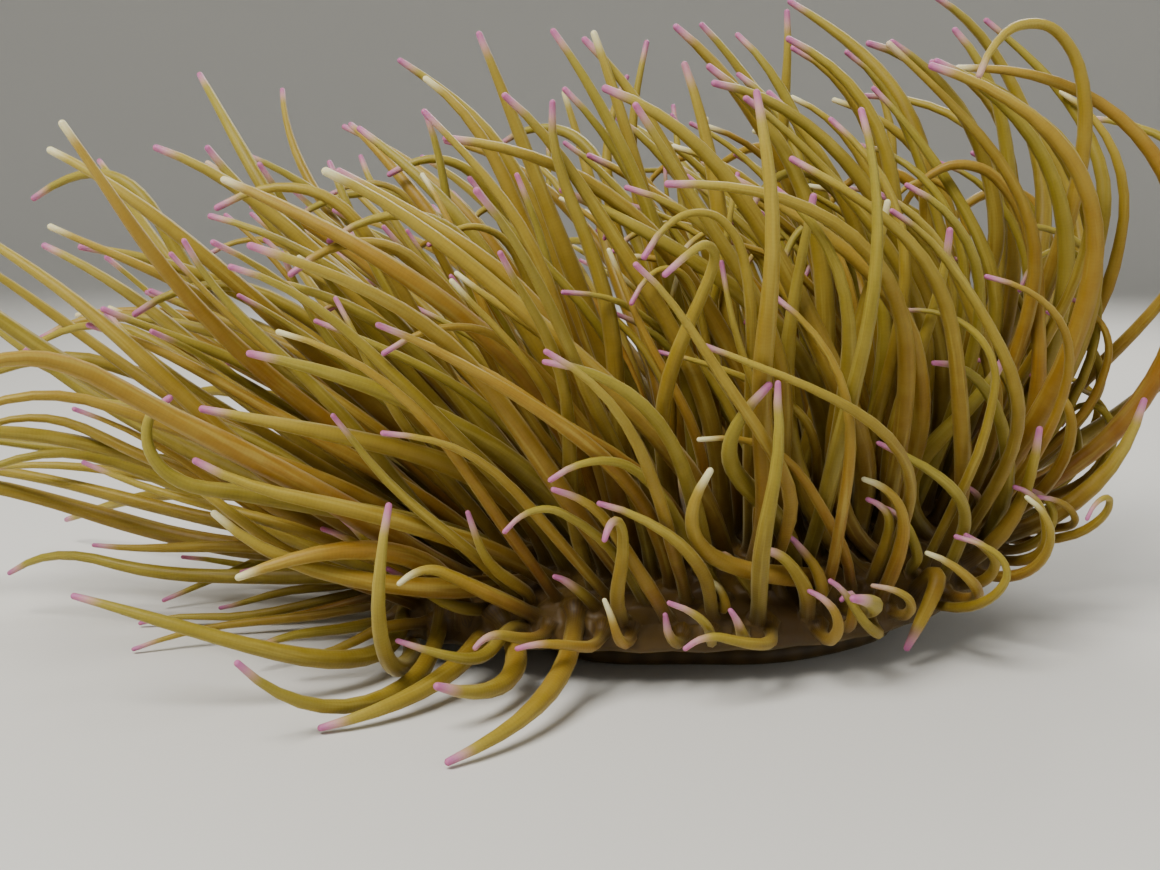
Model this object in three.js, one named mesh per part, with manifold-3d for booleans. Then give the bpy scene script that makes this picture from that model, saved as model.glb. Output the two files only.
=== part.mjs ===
// A snakelocks sea anemone at life size, resting on its foot, with its tentacles streaming to one side.
// Millimetres, +Z up. The origin is the middle of the foot's underside. Seen from the front, which is
// along +Y, +X is to the right and the tentacles lean to the left.

import * as THREE from 'three';
import Module from 'manifold-3d';

const wasm = await Module();
wasm.setup();

// ---- Driving dimensions ------------------------------------------------------------------------

const GAP = 0.3;                          // between neighbouring pieces
const DISC = {                            // the wide disc that carries the tentacles, an ellipse in plan
  halfLength: 63, halfWidth: 46, turn: THREE.MathUtils.degToRad(22), x: -1, y: 5, thickness: 6,
};
const FOOT = { halfLength: 42, halfWidth: 34, height: 4.4 };
const MOUTH = { halfLength: 10, halfWidth: 6.6, height: 2.6, slitLength: 5, slitWidth: 0.9 };
const ORAL_EDGE = 0.385;                  // places on the disc are fractions of the way to its rim
const CROWN_SPLIT = 0.75;
const COLUMN_TOP = 0.93;
const SECTORS = 12;
const STATIONS = 24;                      // facets round the body

// Rings of tentacles from the mouth outwards: place on the disc, number, length, lean from the upright.
const RINGS = [
  { place: 0.45, count: 24, length: 84, lean: 10 },
  { place: 0.57, count: 24, length: 86, lean: 20 },
  { place: 0.69, count: 36, length: 90, lean: 31 },
  { place: 0.81, count: 36, length: 94, lean: 46 },
  { place: 0.925, count: 48, length: 96, lean: 62 },
  { place: 1.04, count: 48, length: 90, lean: 82 },
];
const INNER_RINGS = 3;                    // the rest stand on the outer crown

// Tentacles whose pose is set one by one. lean turns in the XZ plane from +X, through 90 for upright, to
// 180 for left, at the root, the middle and the end; toward is the angle towards the front; curl bends
// the last quarter. Those with a name are pieces of their own, in three lengths.
const POSED = [
  { ring: 4, slot: 37, length: 76, lean: [134, 88, 80], toward: [10, 14, 10], name: 'tentacle_01' },
  { ring: 4, slot: 38, length: 74, lean: [142, 54, 86], toward: [6, 14, 10], name: 'tentacle_02' },
  { ring: 4, slot: 39, length: 66, lean: [125, 52, 90], toward: [9, 14, 12], name: 'tentacle_03' },
  { ring: 4, slot: 40, length: 45, lean: [140, 16, 69], toward: [4, 13, 12], name: 'tentacle_04' },
  { ring: 5, slot: 23, length: 74, lean: [304, 136, 77], toward: [49, 60, -14], name: 'tentacle_05' },
  { ring: 5, slot: 24, length: 77, lean: [289, 146, 165], toward: [64, 13, -2], name: 'tentacle_06' },
  { ring: 5, slot: 27, length: 50, lean: [104, 168, 203], toward: [30, 18, 8], name: 'tentacle_07' },
  { ring: 3, slot: 22, length: 78, lean: [108, 155, 166], toward: [25, 19, 8], name: 'tentacle_08' },
  { ring: 3, slot: 20, length: 84, lean: [152, 172, 168], toward: [28, 16, 4], curl: -150,
    name: 'tentacle_09' },
  { ring: 5, slot: 44, length: 134, lean: [24, 96, 180], toward: [8, 2, -2], name: 'tentacle_10' },
  { ring: 4, slot: 29, length: 70, lean: [140, 162, 172], toward: [30, 20, 6], curl: -25 },
  { ring: 5, slot: 40, length: 32, lean: [35, 80, 85], toward: [15, 10, 5] },
  { ring: 5, slot: 42, length: 42, lean: [15, 50, 75], toward: [15, 5, 0] },
  { ring: 5, slot: 38, length: 22, lean: [60, -114, -118], toward: [12, 5, 0] },
  { ring: 5, slot: 36, length: 24, lean: [20, 80, 170], toward: [60, 60, 30] },
  { ring: 5, slot: 26, length: 61, lean: [253, 201, 123], toward: [66, 51, 18] },
  { ring: 4, slot: 27, length: 52, lean: [258, 225, 205], toward: [50, 60, 18] },
  { ring: 5, slot: 30, length: 48, lean: [268, 230, 220], toward: [55, 62, 30] },
  { ring: 5, slot: 28, length: 37, lean: [319, 191, 148], toward: [41, 58, 34] },
  { ring: 0, slot: 15, length: 98, lean: [109, 108, 115], toward: [4, 2, 0] },
  { ring: 0, slot: 14, length: 94, lean: [108, 108, 118], toward: [2, 0, -4], curl: 30 },
  { ring: 0, slot: 16, length: 94, lean: [102, 94, 112], toward: [4, 4, 0] },
  { ring: 1, slot: 16, length: 98, lean: [94, 98, 128], toward: [8, 4, 0] },
  { ring: 0, slot: 17, length: 98, lean: [86, 102, 138], toward: [4, 4, 0] },
  { ring: 1, slot: 18, length: 94, lean: [73, 88, 146], toward: [6, 4, 2] },
  { ring: 4, slot: 43, length: 104, lean: [56, 82, 160], toward: [8, 4, 0] },
  { ring: 1, slot: 17, length: 88, lean: [97, 88, 112], toward: [6, 2, 0] },
  { ring: 2, slot: 30, length: 88, lean: [84, 96, 140], toward: [6, 4, 0] },
  { ring: 4, slot: 44, length: 112, lean: [40, 90, 168], toward: [6, 2, 0] },
  { ring: 3, slot: 21, length: 75, lean: [103, 179, 166], toward: [23, 21, 9] },
  { ring: 4, slot: 28, length: 61, lean: [160, 193, 130], toward: [33, 19, 6] },
  { ring: 4, slot: 36, length: 52, lean: [148, 196, 60], toward: [38, 20, 8] },
  { ring: 4, slot: 35, length: 53, lean: [88, 188, 47], toward: [23, 21, 11] },
];

// Steps of the even, never repeating variation between one tentacle and the next, one for each trait.
const VARIATION = {
  length: 0.6180339887, turn: 0.7548776662, rise: 0.5698402910, wave: 0.8191725134,
  phase: 0.6710436067, hook: 0.5497004779, thick: 0.8566748839, side: 0.7338918566,
};

const STEPS = 16;                         // steps along each centre line
const ROOT_DEPTH = 2.2;                   // how far a tentacle's root is sunk into the disc
const FLOOR_GAP = 0.35;                   // under a tentacle that lies low
const CHORD_ERROR = 0.9;                  // between a centre line and the straight lengths that follow it
const MOST_CHORDS = 4;
const STREAMING_SIDES = 3;
const NAMED_SIDES = 5;

const UP = new THREE.Vector3(0, 0, 1);
const STREAM = new THREE.Vector3(-1, 0, 0);
const COLOURS = {
  inner: 0x84702c, outer: 0x7a6628, tentacle: 0x8c8046, disc: 0x6b5420, column: 0x5a4420, mouth: 0x93784a,
};

// ---- Small helpers -----------------------------------------------------------------------------

const fract = (x) => x - Math.floor(x);
const clamp = (x, low, high) => Math.min(Math.max(x, low), high);
const vary = (index, trait) => 2 * fract((index + 1) * VARIATION[trait]) - 1;
const sum = (...terms) => terms.reduce((total, [vector, k]) => total.addScaledVector(vector, k),
  new THREE.Vector3());

function interpolate(x, xs, ys) {
  const k = xs.findIndex((end, n) => n > 0 && x <= end);
  const t = (x - xs[k - 1]) / (xs[k] - xs[k - 1]);
  return ys[k - 1] + t * (ys[k] - ys[k - 1]);
}

function turned(x, y) {
  const [c, s] = [Math.cos(DISC.turn), Math.sin(DISC.turn)];
  return [x * c - y * s, x * s + y * c];
}

// ---- The disc's surface --------------------------------------------------------------------------

function discHeight(place, angle) {
  const dome = 28 - 5.5 * place ** 2 - 2.5 * place ** 6;
  const tilt = place * (5.5 * Math.cos(angle) + 3.5 * Math.sin(angle));
  return dome + tilt + 1.8 * place ** 2 * Math.cos(3 * angle + 0.6);
}

function discPoint(place, angle, drop = 0) {
  const along = DISC.halfLength * place * Math.cos(angle);
  const [x, y] = turned(along, DISC.halfWidth * place * Math.sin(angle));
  return new THREE.Vector3(x + DISC.x, y + DISC.y, discHeight(place, angle) - drop);
}

function outward(angle) {
  const [x, y] = turned(Math.cos(angle) / DISC.halfLength, Math.sin(angle) / DISC.halfWidth);
  return new THREE.Vector3(x, y, 0).normalize();
}

// ---- Centre lines of the tentacles ---------------------------------------------------------------

// A direction from its lean in the XZ plane and its turn towards the front, in degrees.
function aim(lean, toward) {
  const [a, t] = [THREE.MathUtils.degToRad(lean), THREE.MathUtils.degToRad(toward)];
  return new THREE.Vector3(Math.cos(a) * Math.cos(t), -Math.sin(t), Math.sin(a) * Math.cos(t));
}

// The directions at the root, the middle and the end of a tentacle that no row of POSED sets.
function streamingDirections(index, ring, out, q) {
  const side = new THREE.Vector3().crossVectors(UP, out);
  const [left, right, front] = [-out.x, out.x, -out.y].map((way) => Math.max(0, way));
  const [rise, wave, drift] = ['rise', 'wave', 'phase'].map((trait) => vary(index, trait));
  const spread = (RINGS[ring].lean + 8 * rise) * (1 - 0.2 * right * q - 0.45 * front * q);
  const lean = THREE.MathUtils.degToRad(spread);
  const drape = left * q ** 8;
  return [
    sum([out, Math.sin(lean)], [UP, Math.cos(lean)], [STREAM, 0.2 * (1 + 0.8 * drift)]).normalize(),
    sum([out, 0.08 + 0.62 * q * (1 - 0.2 * right - 0.5 * front - 0.35 * left)],
      [UP, 1 - 0.15 * q - 0.25 * left - 0.62 * drape + 0.3 * q * wave],
      [STREAM, 0.34 + 0.12 * right * (1 - 3 * q) + 0.3 * left + 0.3 * drift],
      [side, 0.3 * vary(index, 'turn')]).normalize(),
    sum([out, 0.02 + 0.42 * q * (1 - 0.8 * right - 0.6 * front - 0.3 * left)],
      [UP, 0.62 - 0.3 * q + 0.35 * wave + 0.22 * q * rise - 0.3 * drape],
      [STREAM, 0.5 + 0.8 * right + 0.1 * q * left + 0.4 * drift],
      [side, 0.5 * vary(index, 'side')]).normalize(),
  ];
}

function streamingLength(index, ring, slot, out, q) {
  const [left, right, front] = [-out.x, out.x, -out.y].map((way) => Math.max(0, way));
  const spread = 1 + 0.22 * vary(index, 'length') - front * (0.15 * q + 0.3 * q ** 6);
  const place = 1 + 0.2 * right * q + 0.05 * left + 0.2 * left * q;
  const short = ring === RINGS.length - 1 && slot % 2 === 1;
  return RINGS[ring].length * spread * place * (short ? 0.6 : 1);
}

// Adds a slow sway to a direction, growing towards the tip.
function swayed(direction, index, s, sway) {
  const phase = 2 * Math.PI * fract((index + 1) * VARIATION.phase);
  const turns = 2 * Math.PI * (0.8 + 0.5 * fract((index + 1) * VARIATION.wave));
  const across = new THREE.Vector3().crossVectors(direction, UP).normalize();
  const lift = new THREE.Vector3().crossVectors(across, direction);
  const size = sway * (0.25 + s);
  return sum([direction, 1], [across, size * Math.sin(turns * s + phase)],
    [lift, size * 0.8 * Math.cos(turns * s * 0.9 + phase * 1.7)]).normalize();
}

function curled(direction, s, curl) {
  const angle = curl * clamp((s - 0.72) / 0.28, 0, 1) ** 1.3;
  const [c, n] = [Math.cos(angle), Math.sin(angle)];
  return new THREE.Vector3(direction.x * c - direction.z * n, direction.y, direction.x * n + direction.z * c);
}

// Some tips hook over: the direction turns down over the last part.
function hooked(direction, index, out, s) {
  const bend = clamp((s - 0.7) / 0.3, 0, 1);
  const side = new THREE.Vector3().crossVectors(UP, out);
  const down = sum([out, 0.5], [STREAM, 0.8], [UP, -0.9], [side, 0.6 * vary(index, 'turn')]).normalize();
  return sum([direction, 1 - bend], [down, 1.1 * bend]).normalize();
}

function tentacleRadius(s, thick, q, size) {
  const root = (1.95 - 0.195 * q) * thick;
  const radii = [root, root, 1.95 * thick, 1.72 * thick, 1.22 * thick, 0.8 * thick, 0.62];
  return interpolate(s, [0, 0.08, 0.25, 0.5, 0.78, 0.94, 1], radii) * size;
}

function startingLine(index, ring, slot) {
  const { place, count } = RINGS[ring];
  const q = (place - RINGS[0].place) / (RINGS[RINGS.length - 1].place - RINGS[0].place);
  const angle = 2 * Math.PI * (slot + 0.5) / count;
  const out = outward(angle);
  const posed = POSED.find((row) => row.ring === ring && row.slot === slot);
  const [start, middle, end] = posed ? posed.lean.map((lean, n) => aim(lean, posed.toward[n]))
    : streamingDirections(index, ring, out, q);
  const length = posed ? posed.length : streamingLength(index, ring, slot, out, q);
  const curl = THREE.MathUtils.degToRad(posed?.curl ?? 0);
  const hook = !posed && fract((index + 1) * VARIATION.hook) > 0.8;
  const root = discPoint(place * (1 + 0.012 * vary(index, 'side')), angle + 0.012 * vary(index, 'turn'),
    ROOT_DEPTH * q ** 4);
  const points = [root];
  for (let k = 0; k < STEPS; k += 1) {
    const s = (k + 0.5) / STEPS;
    let direction = sum([start, (1 - s) ** 2], [middle, 2 * s * (1 - s)], [end, s ** 2]).normalize();
    direction = curled(swayed(direction, index, s, posed ? 0.035 : 0.2), s, curl);
    if (hook) direction = hooked(direction, index, out, s);
    points.push(points[k].clone().addScaledVector(direction, length / STEPS));
  }
  const thick = 1 + 0.12 * vary(index, 'thick');
  const size = clamp(length / 100, posed ? 0.95 : 0.72, 1.05);
  const radii = points.map((point, k) => tentacleRadius(k / STEPS, thick, q, size));
  const freedom = points.map((point, k) => clamp(k / 3 - 0.2, 0, 1) * (posed ? 0.1 : 1));
  const side = new THREE.Vector3().crossVectors(UP, out);
  return { ring, slot, name: posed?.name, side, points, radii, freedom };
}

// ---- Keeping the tentacles apart -----------------------------------------------------------------

// The closest places on two straight lengths, as fractions, and the way from the second to the first.
function closest(a0, a1, b0, b1) {
  const [ax, ay, az] = [a1.x - a0.x, a1.y - a0.y, a1.z - a0.z];
  const [bx, by, bz] = [b1.x - b0.x, b1.y - b0.y, b1.z - b0.z];
  const [rx, ry, rz] = [a0.x - b0.x, a0.y - b0.y, a0.z - b0.z];
  const aa = ax * ax + ay * ay + az * az;
  const bb = bx * bx + by * by + bz * bz;
  const ab = ax * bx + ay * by + az * bz;
  const ar = ax * rx + ay * ry + az * rz;
  const br = bx * rx + by * ry + bz * rz;
  let s = clamp((ab * br - ar * bb) / Math.max(aa * bb - ab * ab, 1e-9), 0, 1);
  const t = clamp((ab * s + br) / bb, 0, 1);
  s = clamp((ab * t - ar) / aa, 0, 1);
  return { s, t, x: rx + ax * s - bx * t, y: ry + ay * s - by * t, z: rz + az * s - bz * t };
}

function nearPairs(lines) {
  const lengths = lines.flatMap((line, owner) => line.points.slice(1).map((end, k) => {
    const start = line.points[k];
    return { owner, k, half: end.distanceTo(start) / 2, middle: end.clone().add(start).divideScalar(2) };
  }));
  const pairs = [];
  lengths.forEach((a, n) => {
    for (let m = n + 1; m < lengths.length; m += 1) {
      const b = lengths[m];
      const reach = a.half + b.half + 6;
      if (a.owner !== b.owner && a.middle.distanceToSquared(b.middle) < reach * reach) pairs.push([a, b]);
    }
  });
  return pairs;
}

const between = (list, k, t) => list[k] * (1 - t) + list[k + 1] * t;

function pushApart(lines, pushes, [a, b], room) {
  const [first, second] = [lines[a.owner], lines[b.owner]];
  const { s, t, x, y, z } = closest(first.points[a.k], first.points[a.k + 1],
    second.points[b.k], second.points[b.k + 1]);
  const distance = Math.hypot(x, y, z);
  const need = room * (between(first.radii, a.k, s) + between(second.radii, b.k, t)) + GAP;
  const free = [between(first.freedom, a.k, s), between(second.freedom, b.k, t)];
  if (distance >= need || free[0] + free[1] < 1e-6) return;
  const size = (need - distance) / Math.max(distance, 1e-6) / (free[0] + free[1]);
  [[a, s, free[0] * size], [b, t, -free[1] * size]].forEach(([length, place, k]) => {
    [[length.k, 1 - place], [length.k + 1, place]].forEach(([at, share]) => {
      const push = pushes[length.owner][at];
      push.x += x * k * share;
      push.y += y * k * share;
      push.z += z * k * share;
      push.share += share;
    });
  });
}

// Moves one line by its pushes, evens the bend, keeps it over the floor and keeps its lengths.
function settle(line, rest, lengths, pushes, evenness) {
  const moves = line.points.map((point, k) => {
    const { x, y, z, share } = pushes[k];
    const size = Math.min(1, 10 * line.freedom[k]) / Math.max(share, 1);
    return point.clone().add(new THREE.Vector3(x, y, z).multiplyScalar(size)).sub(rest[k]);
  });
  const last = moves.length - 1;
  const placed = moves.map((move, k) => {
    if (k === 0) return rest[0].clone();
    const [before, after] = [moves[k - 1], moves[Math.min(k + 1, last)]];
    const share = k === last ? 0.75 * evenness : evenness;
    const even = k === last ? before : before.clone().add(after).divideScalar(2);
    const point = sum([rest[k], 1], [move, 1 - 2 * share], [even, 2 * share]);
    point.z = Math.max(point.z, 1.25 * line.radii[k] + FLOOR_GAP);
    return point;
  });
  for (let k = 1; k <= last; k += 1) {
    const step = placed[k].clone().sub(placed[k - 1]).setLength(lengths[k - 1]);
    line.points[k].copy(line.points[k - 1]).add(step);
  }
}

function separate(lines, rounds, room, evenness) {
  const rest = lines.map((line) => line.points.map((point) => point.clone()));
  const lengths = lines.map(({ points }) => points.slice(1).map((end, k) => end.distanceTo(points[k])));
  let pairs = [];
  for (let round = 0; round < rounds; round += 1) {
    if (round % 10 === 0) pairs = nearPairs(lines);
    const pushes = lines.map((line) => line.points.map(() => ({ x: 0, y: 0, z: 0, share: 0 })));
    pairs.forEach((pair) => pushApart(lines, pushes, pair, room));
    lines.forEach((line, n) => settle(line, rest[n], lengths[n], pushes[n], evenness));
  }
}

// ---- Straight lengths that follow a centre line ----------------------------------------------------

// Splits at the step that strays most, until the straight lengths are close enough.
function chordSteps(points) {
  const steps = [0, STEPS];
  while (steps.length <= MOST_CHORDS) {
    const worst = steps.slice(1).flatMap((end, n) => {
      const chord = new THREE.Line3(points[steps[n]], points[end]);
      return points.slice(steps[n] + 1, end).map((point, k) => ({
        at: steps[n] + 1 + k,
        stray: point.distanceTo(chord.closestPointToPoint(point, true, new THREE.Vector3())),
      }));
    }).reduce((most, here) => (here.stray > most.stray ? here : most), { stray: 0 });
    if (worst.stray < CHORD_ERROR) break;
    steps.push(worst.at);
    steps.sort((a, b) => a - b);
  }
  return steps;
}

const NAMED_STEPS = [0, 2, 5, 8, 11, 13, 16];
const NAMED_CUTS = { root: [0, 2], middle: [2, 4], tip: [4, 6] };   // places in NAMED_STEPS

function chords(line) {
  const steps = line.name ? NAMED_STEPS : chordSteps(line.points);
  const pick = (list) => steps.map((k) => list[k]);
  return {
    ...line, points: pick(line.points).map((point) => point.clone()),
    radii: pick(line.radii), freedom: pick(line.freedom),
  };
}

// ---- Solids --------------------------------------------------------------------------------------

// A closed skin over rings of points, all of one number. Open ends get caps; outline gives their shape.
function loft(rings, outline, endless = false) {
  const count = outline.length;
  const faces = [];
  const last = rings.length - (endless ? 0 : 1);
  for (let n = 0; n < last; n += 1) {
    const [here, next] = [n * count, ((n + 1) % rings.length) * count];
    for (let k = 0; k < count; k += 1) {
      const after = (k + 1) % count;
      faces.push([here + k, here + after, next + after], [here + k, next + after, next + k]);
    }
  }
  if (!endless) {
    const end = (rings.length - 1) * count;
    THREE.ShapeUtils.triangulateShape(outline, []).forEach(([a, b, c]) => {
      faces.push([c, b, a], [end + a, end + b, end + c]);
    });
  }
  const points = rings.flat();
  const volume = faces.reduce((total, [a, b, c]) => total
    + points[a].dot(new THREE.Vector3().crossVectors(points[b], points[c])), 0);
  const geometry = new THREE.BufferGeometry().setFromPoints(points);
  geometry.setIndex(faces.flatMap((face) => (volume < 0 ? face.reverse() : face)));
  return geometry;
}

function solid(geometry) {
  const vertProperties = new Float32Array(geometry.getAttribute('position').array);
  const triVerts = new Uint32Array(geometry.index.array);
  return new wasm.Manifold(new wasm.Mesh({ numProp: 3, vertProperties, triVerts }));
}

function regularOutline(sides) {
  return Array.from({ length: sides }, (_, k) => {
    const angle = 2 * Math.PI * (k / sides + 0.25);
    return new THREE.Vector2(Math.cos(angle), Math.sin(angle));
  });
}

// The rings of points of a tapering tube along straight lengths, each square to the mean way through it.
// The section is as wide, on average, as a round one.
function tubeRings(points, radii, sides, sideways, swell = 0) {
  const corner = Math.PI / (sides * Math.sin(Math.PI / sides));
  const ways = points.slice(1).map((end, k) => end.clone().sub(points[k]).normalize());
  const across = sideways.clone();
  return points.map((point, k) => {
    const way = sum([ways[Math.max(k - 1, 0)], 1], [ways[Math.min(k, ways.length - 1)], 1]).normalize();
    across.addScaledVector(way, -across.dot(way)).normalize();
    const beside = new THREE.Vector3().crossVectors(way, across);
    const size = corner * radii[k] + swell;
    const ring = regularOutline(sides)
      .map(({ x, y }) => sum([point, 1], [across, size * x], [beside, size * y]));
    return { ring, way };
  });
}

// The root reaches into the disc, so that the tentacle grows out of it.
function tentacleRings(line, swell) {
  const [root, ...others] = line.points;
  const inside = root.clone().sub(others[0]).setLength(ROOT_DEPTH).add(root);
  const sides = line.name ? NAMED_SIDES : STREAMING_SIDES;
  return tubeRings([inside, ...others], line.radii, sides, line.side, swell);
}

function tentacle(line, swell = 0) {
  const rings = tentacleRings(line, swell).map(({ ring }) => ring);
  return solid(loft(rings, regularOutline(rings[0].length)));
}

// One length of a named tentacle, drawn back by half the gap at each cut.
function tentacleLength(line, [from, to]) {
  const whole = tentacleRings(line);
  const rings = whole.slice(from, to + 1).map(({ ring, way }, k) => {
    const first = k === 0 && from > 0;
    const last = k === to - from && to < whole.length - 1;
    const back = (GAP / 2) * (Number(first) - Number(last));
    return ring.map((point) => point.clone().addScaledVector(way, back));
  });
  return solid(loft(rings, regularOutline(NAMED_SIDES)));
}

// A stretch of the disc between two angles. Its section is given as places and depths.
function discStretch(section, from, to, steps, trim) {
  const rings = Array.from({ length: steps + 1 }, (_, k) => {
    const angle = THREE.MathUtils.lerp(from + trim, to - trim, k / steps);
    return section.map(([place, depth]) => discPoint(place, angle, depth));
  });
  return solid(loft(rings, section.map(([place, depth]) => new THREE.Vector2(50 * place, -depth))));
}

// Rings of points round the body, each from a function of the angle.
function stack(levels) {
  const angles = Array.from({ length: STATIONS }, (_, k) => 2 * Math.PI * k / STATIONS);
  return solid(loft(levels.map((level) => angles.map(level)), regularOutline(STATIONS)));
}

function footPoint(angle, place, height) {
  const lobes = 1 + 0.025 * Math.cos(5 * angle + 0.4) + 0.015 * Math.cos(8 * angle + 1.1);
  const along = FOOT.halfLength * place * lobes * Math.cos(angle);
  const [x, y] = turned(along, FOOT.halfWidth * place * lobes * Math.sin(angle));
  return new THREE.Vector3(x, y, height);
}

function foot() {
  const { height } = FOOT;
  return stack([[0.95, 0], [1, 0.25 * height], [0.99, 0.6 * height], [0.93, height]]
    .map(([place, z]) => (angle) => footPoint(angle, place, z)));
}

function column() {
  const top = DISC.thickness + GAP + 0.1;
  const base = (angle, place) => footPoint(angle, place, FOOT.height + GAP);
  const waist = (angle) => base(angle, 0.93).lerp(discPoint(COLUMN_TOP, angle, top), 0.42)
    .add(outward(angle).multiplyScalar(-1.6));
  return stack([
    (angle) => base(angle, 0.92), waist, (angle) => discPoint(COLUMN_TOP, angle, top),
    (angle) => discPoint(CROWN_SPLIT, angle, top), (angle) => discPoint(ORAL_EDGE, angle, top),
  ]);
}

function oralDisc() {
  const edge = ORAL_EDGE - 0.007;
  return stack([
    (angle) => discPoint(edge, angle, DISC.thickness), (angle) => discPoint(edge, angle),
    (angle) => discPoint(0.2, angle),
  ]);
}

// The lips are a low ring round a slit.
function lips() {
  const { halfLength, halfWidth, height, slitLength, slitWidth } = MOUTH;
  const section = [
    [halfLength, halfWidth, 1.2 * GAP], [0.93 * halfLength, 0.88 * halfWidth, 0.62 * height],
    [0.74 * halfLength, 0.58 * halfWidth, height], [1.1 * slitLength, 1.6 * slitWidth, 0.8 * height],
    [slitLength, slitWidth, 1.2 * GAP],
  ];
  const rings = Array.from({ length: 16 }, (_, n) => {
    const angle = 2 * Math.PI * n / 16;
    const pleat = 1 + 0.05 * Math.cos(8 * angle);
    return section.map(([a, b, rise]) => {
      const [x, y] = [a * Math.cos(angle) / DISC.halfLength, b * Math.sin(angle) / DISC.halfWidth];
      return discPoint(Math.hypot(x, y), Math.atan2(y, x), -rise * pleat);
    });
  });
  return solid(loft(rings, section.map(([a, , rise]) => new THREE.Vector2(a, rise)), true));
}

// ---- The crown -----------------------------------------------------------------------------------

const INNER_SECTION = [[ORAL_EDGE, 6], [CROWN_SPLIT - 0.0035, 6], [CROWN_SPLIT - 0.0035, 0],
  [ORAL_EDGE, 0]];
const OUTER_SECTION = [[CROWN_SPLIT + 0.0035, 6], [0.94, 6], [0.985, 7.6], [1.055, 7.2], [1.092, 4.6],
  [1.075, 1.9], [1.01, 0.1], [CROWN_SPLIT + 0.0035, 0]];

const boxesMeet = (a, b) => [0, 1, 2].every((k) => a.min[k] < b.max[k] && b.min[k] < a.max[k]);

function cutBy(body, cutters) {
  return cutters.filter((cutter) => boxesMeet(body.boundingBox(), cutter.boundingBox()))
    .reduce((rest, cutter) => rest.subtract(cutter), body);
}

function crownSector(lines, sector, inner) {
  const own = ({ ring, slot, name }) => !name && (ring < INNER_RINGS) === inner
    && Math.floor(slot * SECTORS / RINGS[ring].count) === sector;
  const [from, to] = [sector, sector + 1].map((k) => 2 * Math.PI * k / SECTORS);
  const slab = discStretch(inner ? INNER_SECTION : OUTER_SECTION, from, to, STATIONS / SECTORS,
    inner ? 0.007 : 0.0035);
  const others = lines.filter((line) => !own(line)).map((line) => tentacle(line, GAP));
  return lines.filter(own).reduce((body, line) => body.add(tentacle(line)), cutBy(slab, others));
}

// ---- The whole animal ----------------------------------------------------------------------------

function toMesh(name, body, colour, roughness) {
  const { vertProperties, triVerts } = body.getMesh();
  const geometry = new THREE.BufferGeometry();
  geometry.setAttribute('position', new THREE.BufferAttribute(new Float32Array(vertProperties), 3));
  geometry.setIndex(new THREE.BufferAttribute(new Uint32Array(triVerts), 1));
  geometry.computeVertexNormals();
  const material = new THREE.MeshStandardMaterial({ color: colour, roughness, metalness: 0 });
  const mesh = new THREE.Mesh(geometry, material);
  mesh.name = name;
  return mesh;
}

function tentacleLines() {
  const slots = RINGS.flatMap(({ count }, ring) => Array.from({ length: count }, (_, slot) => [ring, slot]));
  const lines = slots.map(([ring, slot], index) => startingLine(index, ring, slot));
  separate(lines, 150, 1.22, 0.2);
  const straight = lines.map(chords);
  separate(straight, 60, 1.22, 0);
  return straight;
}

function anemone() {
  const group = new THREE.Group();
  const lines = tentacleLines();
  const reach = lines.map((line) => tentacle(line, GAP));
  group.add(toMesh('foot', foot(), COLOURS.column, 0.6));
  group.add(toMesh('column', cutBy(column(), reach), COLOURS.column, 0.55));
  group.add(toMesh('oral_disc', cutBy(oralDisc(), reach), COLOURS.disc, 0.45));
  group.add(toMesh('lips', lips(), COLOURS.mouth, 0.45));
  for (let sector = 0; sector < SECTORS; sector += 1) {
    const number = String(sector + 1).padStart(2, '0');
    group.add(toMesh(`crown_inner_${number}`, crownSector(lines, sector, true), COLOURS.inner, 0.45));
    group.add(toMesh(`crown_outer_${number}`, crownSector(lines, sector, false), COLOURS.outer, 0.45));
  }
  lines.filter((line) => line.name).forEach((line) => {
    Object.entries(NAMED_CUTS).forEach(([part, cuts]) => {
      group.add(toMesh(`${line.name}_${part}`, tentacleLength(line, cuts), COLOURS.tentacle, 0.45));
    });
  });
  return group;
}

export default anemone();
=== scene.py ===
import bmesh
import bpy
import numpy as np
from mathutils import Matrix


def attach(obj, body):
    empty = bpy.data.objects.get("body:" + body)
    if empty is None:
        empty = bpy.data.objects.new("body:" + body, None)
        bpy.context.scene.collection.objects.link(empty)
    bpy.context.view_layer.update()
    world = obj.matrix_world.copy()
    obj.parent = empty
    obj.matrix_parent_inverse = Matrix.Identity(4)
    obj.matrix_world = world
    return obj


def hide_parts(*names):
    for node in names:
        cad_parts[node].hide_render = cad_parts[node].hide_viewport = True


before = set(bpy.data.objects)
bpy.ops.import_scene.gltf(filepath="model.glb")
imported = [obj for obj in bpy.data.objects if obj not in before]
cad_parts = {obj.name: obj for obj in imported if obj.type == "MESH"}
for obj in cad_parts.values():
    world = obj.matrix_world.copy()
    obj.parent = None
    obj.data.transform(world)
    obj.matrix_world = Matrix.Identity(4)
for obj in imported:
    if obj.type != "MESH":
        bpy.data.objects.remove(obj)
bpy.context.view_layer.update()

MM = 0.001

# ---- Driving dimensions ------------------------------------------------------------------------

DISC_HALF_LENGTH, DISC_HALF_WIDTH = 63.0, 46.0
DISC_TURN = np.radians(22.0)
DISC_CENTRE = (-1.0, 5.0)
FOOT_HALF_LENGTH, FOOT_HALF_WIDTH, FOOT_HEIGHT = 42.0, 34.0, 4.4
RAYS, FURROWS = 24, 48  # round the disc and round the column

# Rings of tentacles from the mouth outwards: place on the disc as a fraction of the way to its rim,
# number, length, and lean from the upright in degrees.
RINGS = [(0.45, 24, 84, 10), (0.57, 24, 86, 20), (0.69, 36, 90, 31),
         (0.81, 36, 94, 46), (0.925, 48, 96, 62), (1.04, 48, 90, 82)]

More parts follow.
